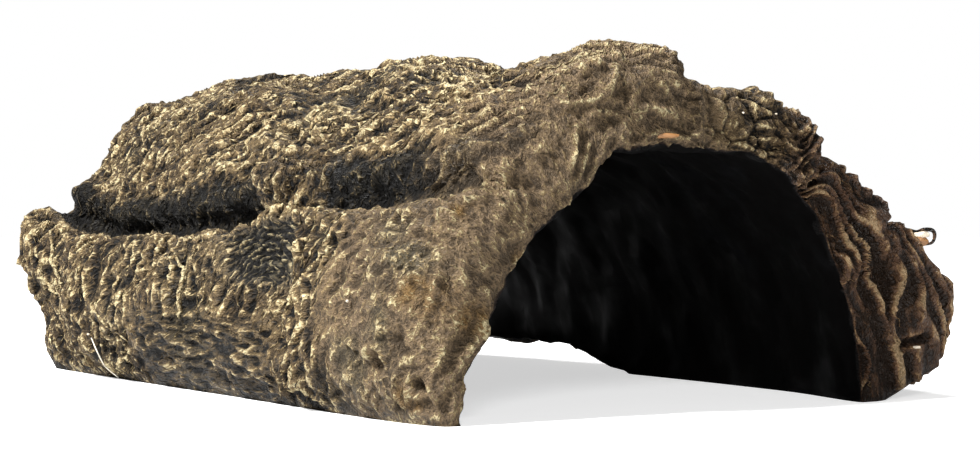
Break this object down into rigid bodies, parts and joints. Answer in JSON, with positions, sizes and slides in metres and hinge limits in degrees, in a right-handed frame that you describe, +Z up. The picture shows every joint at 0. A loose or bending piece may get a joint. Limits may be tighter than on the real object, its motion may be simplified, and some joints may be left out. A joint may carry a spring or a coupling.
{
  "type": "bark reptile hide",
  "caption": "Half-log reptile hide: a hollow arch of rough, furrowed bark, open at both ends, that stands on its two long feet.",
  "frame": {"origin": "middle of the footprint on the ground: bottom centre of the bounding box", "axes": "+Z up, +Y along the log from the mouth that the picture shows to the tail, +X to the right of that mouth"},
  "size_m": [0.2112, 0.2826, 0.1081],
  "materials": {
    "painted_resin": "rough bark brown, tan on the raised grain and near black in the pits and inside the hollow"
  },
  "bodies": {
    "root": {"bark_shell": "painted_resin"}
  },
  "joints": []
}
